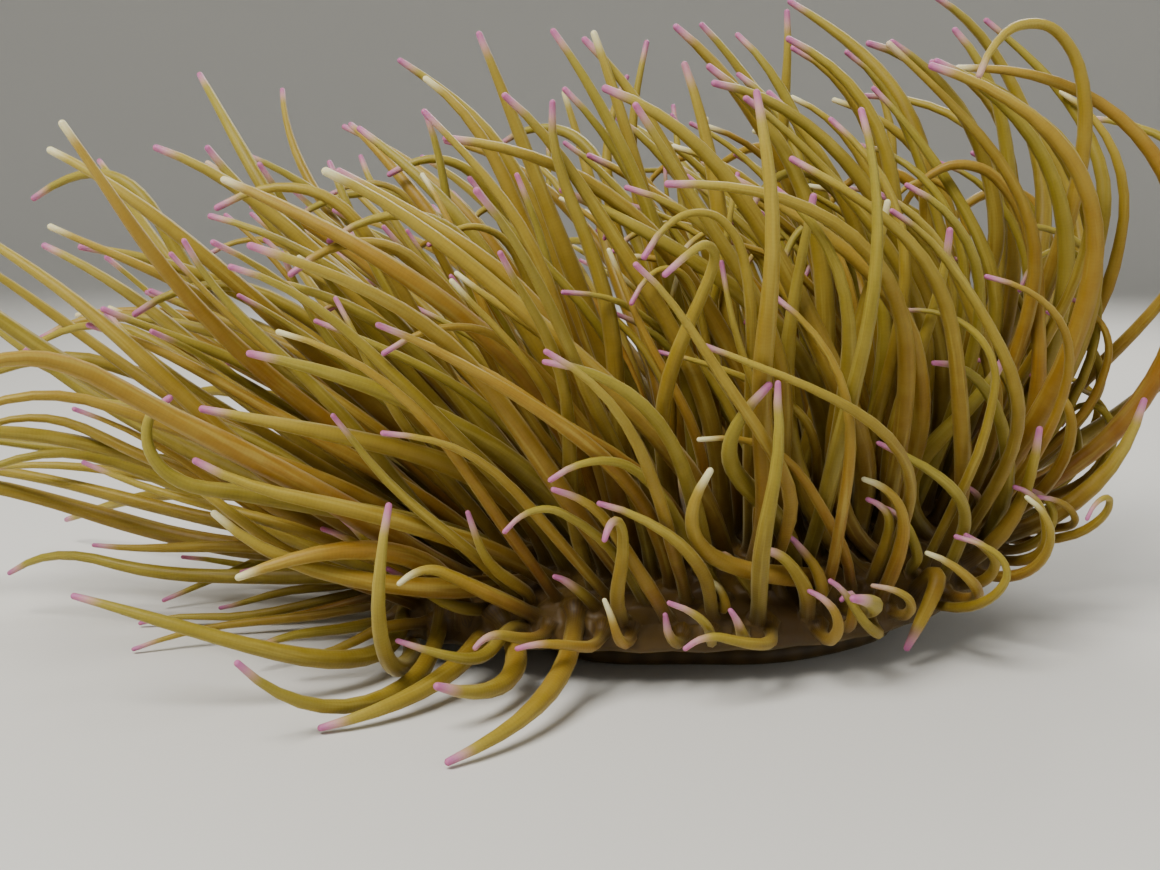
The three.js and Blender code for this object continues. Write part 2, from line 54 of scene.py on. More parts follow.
# Younger and thinner tentacles that fill in between the others. The solids leave them out.
YOUNG_RINGS = [(0.51, 24, 66, 15), (0.63, 24, 72, 26), (0.75, 36, 78, 38), (0.87, 36, 88, 54),
               (0.985, 48, 84, 70), (1.01, 36, 40, 62), (1.075, 66, 36, 112)]
YOUNG_THICKNESS = 0.8
SCATTER, YOUNG_SCATTER = 0.012, 0.028  # how far the roots stray from even rings
MOST_OVERLAP = (0.8, 0.25)  # of a young one with a neighbour, at its root and beyond

# Tentacles whose pose is set one by one: ring, slot and length, then the lean in the XZ plane from +X,
# through 90 for upright, to 180 for left, at the root, the middle and the end, the angle towards the
# front at the same places, and the curl of the last quarter.
POSED = [
    (4, 37, 76, (134, 88, 80), (10, 14, 10), 0), (4, 38, 74, (142, 54, 86), (6, 14, 10), 0),
    (4, 39, 66, (125, 52, 90), (9, 14, 12), 0), (4, 40, 45, (140, 16, 69), (4, 13, 12), 0),
    (5, 23, 74, (304, 136, 77), (49, 60, -14), 0), (5, 24, 77, (289, 146, 165), (64, 13, -2), 0),
    (5, 27, 50, (104, 168, 203), (30, 18, 8), 0), (3, 22, 78, (108, 155, 166), (25, 19, 8), 0),
    (3, 20, 84, (152, 172, 168), (28, 16, 4), -150), (5, 44, 134, (24, 96, 180), (8, 2, -2), 0),
    (4, 29, 70, (140, 162, 172), (30, 20, 6), -25), (5, 40, 32, (35, 80, 85), (15, 10, 5), 0),
    (5, 42, 42, (15, 50, 75), (15, 5, 0), 0), (5, 38, 22, (60, -114, -118), (12, 5, 0), 0),
    (5, 36, 24, (20, 80, 170), (60, 60, 30), 0), (5, 26, 61, (253, 201, 123), (66, 51, 18), 0),
    (4, 27, 52, (258, 225, 205), (50, 60, 18), 0), (5, 30, 48, (268, 230, 220), (55, 62, 30), 0),
    (5, 28, 37, (319, 191, 148), (41, 58, 34), 0), (0, 15, 98, (109, 108, 115), (4, 2, 0), 0),
    (0, 14, 94, (108, 108, 118), (2, 0, -4), 30), (0, 16, 94, (102, 94, 112), (4, 4, 0), 0),
    (1, 16, 98, (94, 98, 128), (8, 4, 0), 0), (0, 17, 98, (86, 102, 138), (4, 4, 0), 0),
    (1, 18, 94, (73, 88, 146), (6, 4, 2), 0), (4, 43, 104, (56, 82, 160), (8, 4, 0), 0),
    (1, 17, 88, (97, 88, 112), (6, 2, 0), 0), (2, 30, 88, (84, 96, 140), (6, 4, 0), 0),
    (4, 44, 112, (40, 90, 168), (6, 2, 0), 0), (3, 21, 75, (103, 179, 166), (23, 21, 9), 0),
    (4, 28, 61, (160, 193, 130), (33, 19, 6), 0), (4, 36, 52, (148, 196, 60), (38, 20, 8), 0),
    (4, 35, 53, (88, 188, 47), (23, 21, 11), 0),
]

# Steps of the even, never repeating variation between one tentacle and the next, one for each trait.
VARIATION = dict(length=0.6180339887, turn=0.7548776662, rise=0.5698402910, wave=0.8191725134,
                 phase=0.6710436067, hook=0.5497004779, thick=0.8566748839, side=0.7338918566)

STEPS = 16                 # steps along each centre line
ROOT_DEPTH = 2.2           # how far a root is sunk into the disc
GAP = 0.3                  # between neighbouring solids
FLOOR_GAP = 0.35           # under a tentacle that lies low
ROOM = 1.22                # how much wider than a tentacle the space is that it keeps for itself
ROUNDS = 150               # of moving the tentacles apart
LOOK_AHEAD = 6.0           # how far apart two tentacles may be and still be watched
BATCH = 400                # of lengths compared with all others at once
TIP_RADIUS = 0.62
SWAY, POSED_SWAY = 0.2, 0.035  # how far the direction of a tentacle sways
POSED_FREEDOM = 0.1        # how far a posed tentacle gives way, where a free one has 1
LEAST_SIZE, LEAST_POSED_SIZE, MOST_SIZE = 0.72, 0.95, 1.05  # of a short and of a long tentacle's width
HOOKED_FROM = 0.8          # the tentacles whose hook trait is above this hook over

UP = np.array([0.0, 0.0, 1.0])
STREAM = np.array([-1.0, 0.0, 0.0])


# ---- The disc and the centre lines, as the solids have them --------------------------------------

def fract(x):
    return x - np.floor(x)


def vary(index, trait):
    return 2 * fract((index + 1) * VARIATION[trait]) - 1


def unit(vectors):
    return vectors / np.maximum(np.linalg.norm(vectors, axis=-1, keepdims=True), 1e-12)


def turned(x, y):
    c, s = np.cos(DISC_TURN), np.sin(DISC_TURN)
    return x * c - y * s, x * s + y * c


def disc_height(place, angle):
    dome = 28 - 5.5 * place ** 2 - 2.5 * place ** 6
    tilt = place * (5.5 * np.cos(angle) + 3.5 * np.sin(angle))
    return dome + tilt + 1.8 * place ** 2 * np.cos(3 * angle + 0.6)


def disc_point(place, angle, drop=0.0):
    x, y = turned(DISC_HALF_LENGTH * place * np.cos(angle), DISC_HALF_WIDTH * place * np.sin(angle))
    return np.stack([x + DISC_CENTRE[0], y + DISC_CENTRE[1], disc_height(place, angle) - drop], axis=-1)


def outward(angle):
    x, y = turned(np.cos(angle) / DISC_HALF_LENGTH, np.sin(angle) / DISC_HALF_WIDTH)
    return unit(np.stack([x, y, 0 * x], axis=-1))


def aim(lean, toward):
    a, t = np.radians(lean), np.radians(toward)
    return np.array([np.cos(a) * np.cos(t), -np.sin(t), np.sin(a) * np.cos(t)])


def tentacle_radius(s, thick, q, size):
    """Half a tentacle's width, s of the way along it."""
    root = 1.95 * (1 - 0.1 * q)
    radii = np.array([root, root, 1.95, 1.72, 1.22, 0.8]) * thick
    return np.interp(s, [0, 0.08, 0.25, 0.5, 0.78, 0.94, 1], [*radii, TIP_RADIUS]) * size


def streaming_ways(index, lean, out, q):
    """The directions at the root, the middle and the end of the tentacles that no row of POSED sets."""
    side = np.cross(UP, out)
    left, right, front = np.maximum(0, -out[:, :1]), np.maximum(0, out[:, :1]), np.maximum(0, -out[:, 1:2])
    rise, wave, drift = (vary(index, trait)[:, None] for trait in ("rise", "wave", "phase"))
    q = q[:, None]
    upright = 0.2 * right * q + 0.45 * front * q * (q <= 1)
    lean = np.radians((lean[:, None] + 8 * rise) * (1 - upright))
    start = out * np.sin(lean) + UP * np.cos(lean) + STREAM * 0.2 * (1 + 0.8 * drift)
    middle = (out * (0.08 + 0.62 * q * (1 - 0.2 * right - 0.5 * front - 0.35 * left))
              + UP * (1 - 0.15 * q - 0.25 * left - 0.62 * left * q ** 8 + 0.3 * q * wave)
              + STREAM * (0.34 + 0.12 * right * (1 - 3 * q) + 0.3 * left + 0.3 * drift)
              + side * 0.3 * vary(index, "turn")[:, None])
    end = (out * (0.02 + 0.42 * q * (1 - 0.8 * right - 0.6 * front - 0.3 * left))
           + UP * (0.62 - 0.3 * q + 0.35 * wave + 0.22 * q * rise - 0.3 * left * q ** 8)
           + STREAM * (0.5 + 0.8 * right + 0.1 * q * left + 0.4 * drift)
           + side * 0.5 * vary(index, "side")[:, None])
    return unit(start), unit(middle), unit(end)


def streaming_lengths(index, ring, slot, base, out, q):
    left, right, front = np.maximum(0, -out[:, 0]), np.maximum(0, out[:, 0]), np.maximum(0, -out[:, 1])
    spread = 1 + 0.22 * vary(index, "length") - front * (0.15 * q + 0.3 * np.minimum(q, 1) ** 6)
    short = (ring == len(RINGS) - 1) & (slot % 2 == 1)
    return base * spread * (1 + 0.2 * right * q + 0.05 * left + 0.2 * left * q) * np.where(short, 0.6, 1)


def swayed(ways, index, s, sway):
    """Adds a slow sway to the directions, growing towards the tip."""
    phase = 2 * np.pi * fract((index + 1) * VARIATION["phase"])[:, None]
    turns = 2 * np.pi * (0.8 + 0.5 * fract((index + 1) * VARIATION["wave"]))[:, None]
    across = unit(np.cross(ways, UP))
    lift = np.cross(across, ways)
    size = sway[:, None] * (0.25 + s)
    return unit(ways + across * (size * np.sin(turns * s + phase))[..., None]
                + lift * (size * 0.8 * np.cos(turns * s * 0.9 + phase * 1.7))[..., None])


def curled(ways, s, curl):
    angle = curl[:, None] * np.clip((s - 0.72) / 0.28, 0, 1) ** 1.3
    x, y, z = np.moveaxis(ways, -1, 0)
    return np.stack([x * np.cos(angle) - z * np.sin(angle), y,
                     x * np.sin(angle) + z * np.cos(angle)], axis=-1)


def hooked(ways, index, out, s, hook):
    """Some tips hook over: the direction turns down over the last part."""
    bend = (np.clip((s - 0.7) / 0.3, 0, 1) * hook[:, None])[..., None]
    side = np.cross(UP, out)
    down = unit(out * 0.5 + STREAM * 0.8 - UP * 0.9 + side * 0.6 * vary(index, "turn")[:, None])
    return unit(ways * (1 - bend) + down[:, None] * 1.1 * bend)


def starting_lines(rings, first=0, size=1.0, shift=0.5, scatter=SCATTER):
    """Centre lines of rings of tentacles before they are moved apart, with their sizes."""
    place, count, base, lean = np.array(rings, dtype=float).T
    ring = np.repeat(np.arange(len(rings)), count.astype(int))
    slot = np.concatenate([np.arange(n) for n in count.astype(int)])
    index = first + np.arange(len(ring))
    q = (place[ring] - RINGS[0][0]) / (RINGS[-1][0] - RINGS[0][0])
    angle = 2 * np.pi * (slot + shift) / count[ring]
    out = outward(angle)
    ways = list(streaming_ways(index, lean[ring], out, q))
    length = streaming_lengths(index, ring, slot, base[ring], out, q)
    curl = np.zeros(len(index))
    posed = np.zeros(len(index), dtype=bool)
    for its_ring, its_slot, its_length, leans, towards, its_curl in POSED if rings is RINGS else ():
        n = int(np.flatnonzero((ring == its_ring) & (slot == its_slot))[0])
        for way, a, t in zip(ways, leans, towards):
            way[n] = aim(a, t)
        length[n], curl[n], posed[n] = its_length, np.radians(its_curl), True
    root = disc_point(place[ring] * (1 + SCATTER * vary(index, "side")),
                      angle + scatter * vary(index, "turn"), ROOT_DEPTH * q ** 4)
    s = ((np.arange(STEPS) + 0.5) / STEPS)[None, :]
    start, middle, end = (way[:, None] for way in ways)
    along = unit(start * (1 - s[..., None]) ** 2 + middle * 2 * s[..., None] * (1 - s[..., None])
                 + end * s[..., None] ** 2)
    along = curled(swayed(along, index, s, np.where(posed, POSED_SWAY, SWAY)), s, curl)
    hook = ~posed & (fract((index + 1) * VARIATION["hook"]) > HOOKED_FROM)
    along = hooked(along, index, out, s, hook)
    points = root[:, None] + np.concatenate(
        [np.zeros((len(index), 1, 3)), np.cumsum(along * (length / STEPS)[:, None, None], axis=1)], axis=1)
    thick = size * (1 + 0.12 * vary(index, "thick"))
    scale = np.clip(length / 100, np.where(posed, LEAST_POSED_SIZE, LEAST_SIZE), MOST_SIZE)
    steps = np.arange(STEPS + 1)
    radii = np.array([tentacle_radius(steps / STEPS, *sizes) for sizes in zip(thick, q, scale)])
    freedom = np.clip(steps / 3 - 0.2, 0, 1) * np.where(posed, POSED_FREEDOM, 1)[:, None]
    return dict(points=points, radii=radii, freedom=freedom, length=length, thick=thick, q=q, scale=scale,
                ring=ring, slot=slot, posed=posed)


def closest(a0, a1, b0, b1):
    """The closest places on pairs of straight lengths, as fractions, and the way from second to first."""
    a, b, r = a1 - a0, b1 - b0, a0 - b0
    aa, bb, ab = (a * a).sum(1), (b * b).sum(1), (a * b).sum(1)
    ar, br = (a * r).sum(1), (b * r).sum(1)
    s = np.clip((ab * br - ar * bb) / np.maximum(aa * bb - ab * ab, 1e-9), 0, 1)
    t = np.clip((ab * s + br) / bb, 0, 1)
    s = np.clip((ab * t - ar) / aa, 0, 1)
    return s, t, r + a * s[:, None] - b * t[:, None]


def near_pairs(points, half, settled=0):
    """Every pair of lengths of two tentacles that could meet within the next few rounds."""
    middles = ((points[:, :-1] + points[:, 1:]) / 2).reshape(-1, 3)
    owner = np.repeat(np.arange(len(points)), STEPS)
    found = []
    for first in range(0, len(middles), BATCH):
        rows = slice(first, first + BATCH)
        apart = ((middles[rows, None] - middles[None]) ** 2).sum(2)
        a, b = np.nonzero(apart < (half[rows, None] + half[None] + LOOK_AHEAD) ** 2)
        a = a + first
        found.append(np.stack([a, b])[:, (owner[a] < owner[b]) & (owner[b] >= settled)])
    return np.concatenate(found, axis=1)


def between(table, owner, k, t):
    """A table's values between steps k and k + 1 of its owners."""
    return table[owner, k] * (1 - t) + table[owner, k + 1] * t


def meetings(pairs, points):
    """Where the lengths of each pair come closest: owners, steps, fractions, and the way between."""
    (i, j), (ki, kj) = pairs // STEPS, pairs % STEPS
    return i, j, ki, kj, *closest(points[i, ki], points[i, ki + 1], points[j, kj], points[j, kj + 1])


def moved_apart(lines, settled=0):
    """Moves the free tentacles until each has its room, keeping their lengths and their roots. The first
    few may be settled already."""
    points, radii, freedom = lines["points"].copy(), lines["radii"], lines["freedom"]
    rest, step = points.copy(), lines["length"][:, None] / STEPS
    half = np.repeat(lines["length"] / STEPS / 2, STEPS)
    for turn in range(ROUNDS):
        if turn % 10 == 0:
            pairs = near_pairs(points, half, settled)
        i, j, ki, kj, u, v, way = meetings(pairs, points)
        distance = np.linalg.norm(way, axis=1)
        need = ROOM * (between(radii, i, ki, u) + between(radii, j, kj, v)) + GAP
        free_i, free_j = between(freedom, i, ki, u), between(freedom, j, kj, v)
        hit = (need > distance) & (free_i + free_j > 1e-6)
        i, ki, j, kj, u, v, way, distance, need, free_i, free_j = (
            row[hit] for row in (i, ki, j, kj, u, v, way, distance, need, free_i, free_j))
        push = way * ((need - distance) / np.maximum(distance, 1e-6) / (free_i + free_j))[:, None]
        pushes, share = np.zeros_like(points), np.zeros(points.shape[:2])
        for owner, k, part, size in ((i, ki, 1 - u, free_i), (i, ki + 1, u, free_i),
                                     (j, kj, 1 - v, -free_j), (j, kj + 1, v, -free_j)):
            np.add.at(pushes, (owner, k), push * (size * part)[:, None])
            np.add.at(share, (owner, k), part)
        move = points + pushes * (np.minimum(1, 10 * freedom) / np.maximum(share, 1))[..., None] - rest
        even = move.copy()
        even[:, 1:-1] = 0.6 * move[:, 1:-1] + 0.2 * (move[:, :-2] + move[:, 2:])
        even[:, -1] = 0.7 * move[:, -1] + 0.3 * move[:, -2]
        placed = rest + even
        placed[:, 1:, 2] = np.maximum(placed[:, 1:, 2], 1.25 * radii[:, 1:] + FLOOR_GAP)
        ways = unit(placed[:, 1:] - placed[:, :-1]) * step[..., None]
        points[:, 0] = placed[:, 0]
        for k in range(STEPS):
            points[:, k + 1] = points[:, k] + ways[:, k]
    return {**lines, "points": points}


def with_room(lines, settled):
    """Leaves out the young tentacles that found no room."""
    half = np.repeat(lines["length"] / STEPS / 2, STEPS)
    i, j, ki, kj, u, v, way = meetings(near_pairs(lines["points"], half, settled), lines["points"])
    reach = between(lines["radii"], i, ki, u) + between(lines["radii"], j, kj, v)
    overlap = reach - np.linalg.norm(way, axis=1)
    keep = np.ones(len(lines["length"]), dtype=bool)
    keep[j[overlap > np.where(kj + v < 1, *MOST_OVERLAP)]] = False
    return {key: values[keep] for key, values in lines.items()}


def all_lines():
    """The tentacles that the solids have, then the young ones between them."""
    settled = moved_apart(starting_lines(RINGS))
    count = len(settled["points"])
    young = starting_lines(YOUNG_RINGS, count, YOUNG_THICKNESS, 0.0, YOUNG_SCATTER)
    young["ring"] += len(RINGS)
    together = {key: np.concatenate([settled[key], young[key]]) for key in settled}
    together["freedom"][:count] = 0
    return with_room(moved_apart(together, count), count)


# ---- Node trees ----------------------------------------------------------------------------------

class Value:
    """A number that a node gives, so that sums of such numbers are written as sums."""

    def __init__(self, tree, socket):
        self.tree, self.socket = tree, socket

    def maths(self, operation, *others):
        return self.tree.maths(operation, self, *others)

    def __add__(self, other):
        return self.maths("ADD", other)

    def __sub__(self, other):
        return self.maths("SUBTRACT", other)

    def __rsub__(self, other):
        return self.tree.maths("SUBTRACT", other, self)

    def __mul__(self, other):
        return self.maths("MULTIPLY", other)

    __radd__ = __add__
    __rmul__ = __mul__


class Tree:
    """A node tree that is filled by one method for every kind of node."""

    def __init__(self, tree):
        self.tree = tree

    def node(self, kind, settings=(), **sockets):
        """Adds a node. A socket's name is written with _ for a blank, or as its identifier is."""
        node = self.tree.nodes.new(kind)
        for name, value in dict(settings).items():
            if name == "stops":
                self.set_stops(node.color_ramp, value)
            else:
                setattr(node, name, value)
        for name, value in sockets.items():
            self.feed(self.find(node.inputs, name), value)
        return node

    @staticmethod
    def set_stops(ramp, stops):
        while len(ramp.elements) < len(stops):
            ramp.elements.new(0.5)
        for element, (position, colour) in zip(ramp.elements, stops):
            element.position, element.color = position, colour

    @staticmethod
    def find(sockets, name):
        plain = name.replace("_", " ")
        by_identifier = [s for s in sockets if s.identifier == name]
        return (by_identifier or [s for s in sockets if s.name == plain and s.enabled])[0]

    def feed(self, socket, value):
        if isinstance(value, (Value, bpy.types.NodeSocket)):
            self.tree.links.new(getattr(value, "socket", value), socket)
        else:
            socket.default_value = value

    def maths(self, operation, *values):
        node = self.node("ShaderNodeMath", {"operation": operation})
        for socket, value in zip(node.inputs, values):
            self.feed(socket, value)
        return Value(self, node.outputs[0])

    def smooth(self, value, low, high):
        """0 below low and 1 above high, with a soft step between them, which may run down."""
        node = self.node("ShaderNodeMapRange", {"interpolation_type": "SMOOTHSTEP"}, Value=value,
                         From_Min=low, From_Max=high)
        return Value(self, node.outputs["Result"])

    def attribute(self, name):
        return Value(self, self.node("ShaderNodeAttribute", {"attribute_name": name}).outputs["Fac"])

    def attribute_vector(self, name):
        return self.node("ShaderNodeAttribute", {"attribute_name": name}).outputs["Vector"]

    def vector(self, x, y, z):
        return self.node("ShaderNodeCombineXYZ", X=x, Y=y, Z=z).outputs[0]

    def noise(self, vector, scale, detail=2.0, roughness=0.5):
        node = self.node("ShaderNodeTexNoise", Vector=vector, Scale=scale, Detail=detail,
                         Roughness=roughness)
        return Value(self, self.find(node.outputs, "Fac"))

    def mix(self, factor, first, second):
        node = self.node("ShaderNodeMix", {"data_type": "RGBA"}, Factor_Float=factor, A_Color=first,
                         B_Color=second)
        return self.find(node.outputs, "Result_Color")


def paint(red, green, blue):
    """A colour from its screen values, 0 to 255."""
    screen = np.array([red, green, blue]) / 255
    return (*np.where(screen > 0.04045, ((screen + 0.055) / 1.055) ** 2.4, screen / 12.92), 1.0)


# ---- Materials -----------------------------------------------------------------------------------

RING_SPACING = 0.7         # between the fine cross rings of a tentacle
PURPLE_LENGTH = 5.2        # of a tentacle's coloured tip


def flesh_material():
    material = bpy.data.materials.new("flesh")
    material.use_nodes = True
    tree = Tree(material.node_tree)
    material.node_tree.nodes.clear()

    growth, from_root, from_tip = (tree.attribute(name) for name in ("growth", "from_root", "from_tip"))
    fellow, column, mouth = (tree.attribute(name) for name in ("fellow", "column", "mouth"))
    split = tree.node("ShaderNodeSeparateXYZ", Vector=tree.attribute_vector("round"))
    across, beside = Value(tree, split.outputs[0]), Value(tree, split.outputs[1])
    place = tree.node("ShaderNodeTexCoord").outputs["Object"]

    # Patterns: streaks along a tentacle, uneven cross rings whose grooves also get painted shade, blotches
    # and fine grain.
    streak = tree.noise(tree.vector(across * 0.9, beside * 0.9, from_root * 0.03 + fellow * 61.0), 1.7, 3.0)
    fine_streak = tree.noise(tree.vector(across * 2.6, beside * 2.6, from_root * 0.05 + fellow * 37.0), 1.9)
    unevenness = tree.noise(tree.vector(across, beside, from_root * 0.45 + fellow * 83.0), 1.1)
    rings = (((from_root + unevenness * 1.1) * (2 * np.pi / RING_SPACING)).maths("SINE") + 1) * 0.5
    blotch = tree.noise(place, 140.0, 3.0, 0.6)
    grain = tree.noise(place, 2300.0, 2.0, 0.6)
    second = (fellow * 17.31).maths("FRACT")
    third = (fellow * 41.77).maths("FRACT")

    # Colour along a tentacle from root to tip: darker orange-brown towards the root, partly the tentacle's
    # own tone and partly painted shade deep in the crown, then golden and paler towards the tip.
    along = tree.node("ShaderNodeValToRGB", {"stops": [
        (0.0, paint(66, 34, 3)), (0.08, paint(90, 52, 5)), (0.22, paint(118, 80, 8)),
        (0.45, paint(136, 103, 15)), (0.7, paint(147, 122, 29)), (0.9, paint(160, 140, 50)),
        (1.0, paint(172, 156, 74))]}, Fac=growth).outputs[0]
    greener = tree.mix(second * 0.45, along, paint(112, 114, 26))
    warmer = tree.mix(tree.smooth(third, 0.6, 1.0) * 0.35, greener, paint(150, 89, 10))
    streaked = tree.mix(tree.smooth(streak, 0.52, 0.7) * 0.3, warmer, paint(182, 168, 84))
    lined = tree.mix(tree.smooth(fine_streak, 0.45, 0.30) * 0.2, streaked, paint(88, 58, 8))
    # Painted shade: darker in the grooves between the cross rings, where the ring bump is low.
    with_painted_groove_shade = tree.mix((1 - rings) * 0.07, lined, paint(82, 63, 14))
    blotched = tree.mix(tree.smooth(blotch, 0.35, 0.7) * 0.2, with_painted_groove_shade, paint(172, 154, 64))

    # Tips: most are purple, the others pale.
    tip = tree.smooth(from_tip, PURPLE_LENGTH * 1.15, PURPLE_LENGTH * 0.35)
    purple = tree.mix(tree.smooth(from_tip, PURPLE_LENGTH * 0.7, 0.3), paint(186, 142, 144),
                      paint(172, 98, 144))
    bare = tree.mix(tree.smooth(from_tip, PURPLE_LENGTH, 0.5), blotched, paint(214, 206, 160))
    has_purple = tree.smooth(second, 0.14, 0.2)
    tipped = tree.mix(tip * has_purple, tree.mix(1 - has_purple, blotched, bare), purple)

    # The body: a brown disc with rays, a duller column with upright lines, and paler lips.
    angle = beside.maths("ARCTAN2", across)
    rays = ((angle * RAYS + blotch * 2.0).maths("SINE") + 1) * 0.5
    disc = tree.mix(rays * 0.5, paint(66, 44, 8), paint(98, 72, 16))
    lines = ((angle * FURROWS + blotch * 3.0).maths("SINE") + 1) * 0.5
    side = tree.mix(lines * 0.4, paint(64, 46, 16), paint(96, 74, 32))
    body = tree.mix(mouth, tree.mix(column, disc, side), paint(176, 148, 96))
    mottled = tree.mix(tree.smooth(blotch, 0.3, 0.75) * 0.4, body, paint(54, 40, 16))
    colour = tree.mix(tree.smooth(from_root, -0.5, 9.0), mottled, tipped)

    height = rings * 0.12 + fine_streak * 0.4 + grain * 0.2
    bump = tree.node("ShaderNodeBump", Strength=0.4, Distance=0.0002, Height=height).outputs[0]
    shader = tree.node(
        "ShaderNodeBsdfPrincipled", Base_Color=colour, Normal=bump,
        Roughness=0.36 + grain * 0.16 + blotch * 0.1, IOR=1.38, Specular_IOR_Level=0.42,
        Subsurface_Weight=0.4, Subsurface_Radius=(1.0, 0.72, 0.25), Subsurface_Scale=0.0015,
        Sheen_Weight=0.12, Sheen_Roughness=0.5, Sheen_Tint=paint(250, 240, 190)).outputs[0]
    tree.node("ShaderNodeOutputMaterial", Surface=shader)
    return material


def stage_material():
    material = bpy.data.materials.new("stage_paper")
    material.use_nodes = True
    tree = Tree(material.node_tree)
    material.node_tree.nodes.clear()
    shader = tree.node("ShaderNodeBsdfPrincipled", Base_Color=paint(214, 212, 206),
                       Roughness=0.85).outputs[0]
    tree.node("ShaderNodeOutputMaterial", Surface=shader)
    return material


# ---- Meshes --------------------------------------------------------------------------------------

def make_object(name, vertices, faces=(), edges=(), attributes=None):
    """An object in the scene from points in millimetres, with its attributes on the points."""
    mesh = bpy.data.meshes.new(name)
    mesh.from_pydata((np.asarray(vertices) * MM).tolist(), list(edges), list(faces))
    for key, values in (attributes or {}).items():
        values = np.asarray(values, dtype=float)
        kind, field = ("FLOAT_VECTOR", "vector") if values.ndim == 2 else ("FLOAT", "value")
        mesh.attributes.new(key, kind, "POINT").data.foreach_set(field, values.ravel())
    thing = bpy.data.objects.new(name, mesh)
    bpy.context.scene.collection.objects.link(thing)
    return thing


def apply_modifiers(thing):
    """Turns the result of an object's modifiers into its plain mesh."""
    mesh = bpy.data.meshes.new_from_object(thing.evaluated_get(bpy.context.evaluated_depsgraph_get()))
    thing.modifiers.clear()
    thing.data = mesh


def read(mesh, name):
    data = mesh.attributes[name].data
    size = 3 if mesh.attributes[name].data_type == "FLOAT_VECTOR" else 1
    values = np.zeros(len(data) * size)
    data.foreach_get("vector" if size == 3 else "value", values)
    return values.reshape(-1, size) if size == 3 else values


def corner_table(mesh):
    """The vertex of every face corner, and each face's first corner and number of corners."""
    corners = np.zeros(len(mesh.loops), dtype=np.int32)
    starts = np.zeros(len(mesh.polygons), dtype=np.int32)
    totals = np.zeros(len(mesh.polygons), dtype=np.int32)
    mesh.loops.foreach_get("vertex_index", corners)
    mesh.polygons.foreach_get("loop_start", starts)
    mesh.polygons.foreach_get("loop_total", totals)
    return corners, starts, totals


def lay_out(mesh, turn, place):
    """Gives a mesh its bake map: turn is the way round, 0 to 1, and place gives u and v from it."""
    corners, starts, totals = corner_table(mesh)
    turn = turn[corners]
    widest = np.maximum.reduceat(turn, starts) - np.minimum.reduceat(turn, starts)
    wraps = np.repeat((widest > 0.5) & (totals < 5), totals)  # the faces across the seam, but not the caps
    turn = np.where(wraps & (turn < 0.5), turn + 1, turn)
    layer = mesh.uv_layers.new(name="OFBake")
    layer.uv.foreach_set("vector", np.stack(place(turn, corners), axis=-1).ravel())


# ---- Tentacles -----------------------------------------------------------------------------------

POSED_SIDES, SIDES, YOUNG_SIDES = 10, 8, 7         # of a tentacle's section
MOST_TURN = np.radians(9)                          # between two sections
CLOSEST, WIDEST = 1.2, 5.0                         # spacing of sections
NEAR_ROOT = np.array([-1.7, -0.5, 0.4, 1.3, 2.6])  # sections of the flare, from inside the disc outwards
CLOSING = np.radians([26, 50, 74])                 # sections of the round tip, as angles on its half ball
FLARE, FLARE_LENGTH = 0.85, 1.1                    # how a tentacle widens where it grows out of the disc
UNEVENNESS = 0.035                                 # of a tentacle's width

# The bake map: a patch for each tentacle, in rows and columns, and above them one for the body.
ATLAS_ROWS, ATLAS_COLUMNS, ATLAS_SPLIT = 9, 54, 0.82
PATCH_LEFT, PATCH_WIDTH = 0.06, 0.8
PATCH_FOOT, PATCH_HEIGHT = 0.03, 0.94


def smooth_line(points, places):
    """Points on a smooth curve through a row of points, at places counted in steps."""
    padded = np.concatenate([2 * points[:1] - points[1:2], points, 2 * points[-1:] - points[-2:-1]])
    k = np.clip(np.floor(places).astype(int), 0, len(points) - 2)
    t = (places - k)[:, None]
    p0, p1, p2, p3 = (padded[k + n] for n in range(4))
    return 0.5 * (2 * p1 + (p2 - p0) * t + (2 * p0 - 5 * p1 + 4 * p2 - p3) * t ** 2
                  + (3 * p1 - 3 * p2 + p3 - p0) * t ** 3)


def section_places(points, length, first, last):
    """Distances along a tentacle for its sections, which lie closer where it bends more."""
    fine = np.linspace(first, last, 121)
    ways = unit(np.gradient(smooth_line(points, fine / length * STEPS), axis=0))
    bend = np.linalg.norm(ways[1:] - ways[:-1], axis=1) / MOST_TURN
    bend = np.convolve(np.pad(bend, 4, mode="edge"), np.full(9, 1 / 9), mode="valid")
    step = fine[1] - fine[0]
    sections = np.concatenate([[0], np.cumsum(np.clip(bend, step / WIDEST, step / CLOSEST))])
    return np.interp(np.linspace(0, sections[-1], int(np.ceil(sections[-1])) + 1)[1:], sections, fine)


def tentacle_path(lines, n):
    """The middle of one tentacle from inside the disc to its rounded tip, with what its skin needs."""
    length, *sizes = (lines[key][n] for key in ("length", "thick", "q", "scale"))
    end = tentacle_radius(1.0, *sizes)
    even = section_places(lines["points"][n], length, NEAR_ROOT[-1], length - end)
    reach = np.concatenate([NEAR_ROOT, even, length - end + end * np.sin(CLOSING)])
    narrowing = np.concatenate([np.ones(len(NEAR_ROOT) + len(even)), np.cos(CLOSING)])
    s = np.clip(reach / length, 0, 1)
    wobble = UNEVENNESS * np.sin(reach * 0.23 + 2 * np.pi * fract(n * VARIATION["turn"]))
    radius = tentacle_radius(s, *sizes) * (1 + wobble * np.clip(reach / 12, 0, 1))
    flare = FLARE * np.exp(-np.maximum(reach, -0.4) / FLARE_LENGTH)
    points = smooth_line(lines["points"][n], s * STEPS)
    sunk = unit(lines["points"][n][0] - lines["points"][n][1])
    points = points + sunk * np.maximum(-reach, 0)[:, None]
    return dict(points=points, girth=(radius + flare) * narrowing * MM, growth=s, from_root=reach,
                from_tip=length - reach, fellow=np.full(len(reach), fract((n + 1) * VARIATION["phase"])),
                number=np.full(len(reach), float(n)))


